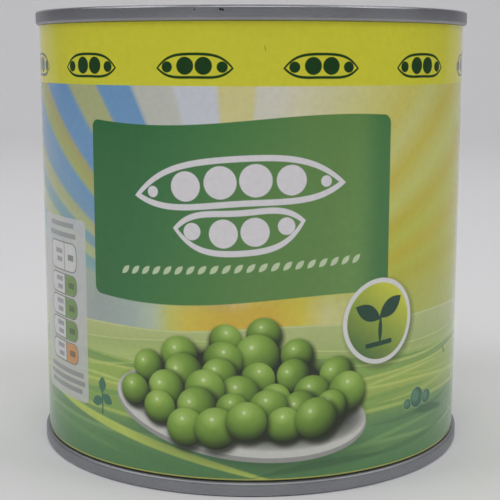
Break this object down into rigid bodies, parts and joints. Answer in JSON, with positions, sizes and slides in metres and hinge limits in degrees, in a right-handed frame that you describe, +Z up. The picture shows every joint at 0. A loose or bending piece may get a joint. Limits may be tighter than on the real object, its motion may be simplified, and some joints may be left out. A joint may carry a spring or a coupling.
{
  "type": "food can",
  "caption": "Shut tin can of garden peas with double-seamed beaded ends and a printed paper label wrapped round its side.",
  "frame": {"origin": "centre of the can's foot, on the plane of the bottom seam's rim", "axes": "+Z up along the can's axis, -Y towards the middle of the label's front, +X to the right of the front"},
  "size_m": [0.0763, 0.0762, 0.0765],
  "materials": {
    "tinplate": "dull rolled tinplate",
    "label_paper": "printed coated paper"
  },
  "bodies": {
    "root": {"can_body": "tinplate", "top_end": "tinplate", "bottom_end": "tinplate", "label": "label_paper"}
  },
  "joints": []
}
